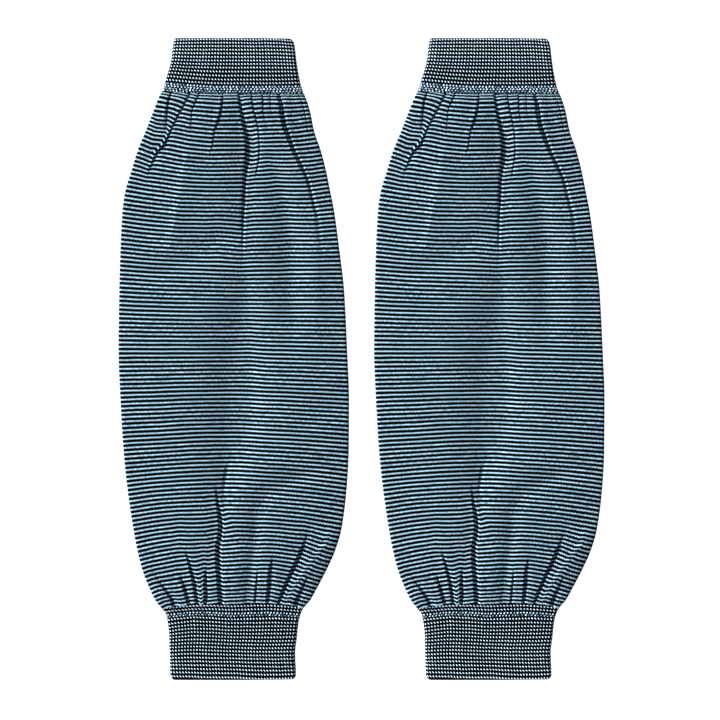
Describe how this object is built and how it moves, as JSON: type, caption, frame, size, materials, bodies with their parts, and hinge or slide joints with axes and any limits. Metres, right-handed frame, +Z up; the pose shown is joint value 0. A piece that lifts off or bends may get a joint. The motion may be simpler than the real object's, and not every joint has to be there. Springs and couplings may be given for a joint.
{
  "type": "pair of knitted cover sleeves",
  "caption": "Pair of loose striped knitted tube sleeves laid flat side by side, each gathered into a ribbed cuff at both ends.",
  "frame": {"origin": "on the surface that the pair lies on, under the middle of the pair", "axes": "+Y along the sleeves towards the upper cuffs, +X to the right seen from above, +Z up from the surface"},
  "size_m": [0.3033, 0.4, 0.0061],
  "materials": {
    "striped_jersey": "soft matt jersey in fine pale blue and black stripes",
    "ribbed_cuff": "soft matt rib in pale blue and black"
  },
  "bodies": {
    "root": {"left_upper_cuff": "ribbed_cuff", "left_body": "striped_jersey", "left_lower_cuff": "ribbed_cuff", "right_upper_cuff": "ribbed_cuff", "right_body": "striped_jersey", "right_lower_cuff": "ribbed_cuff"}
  },
  "joints": []
}
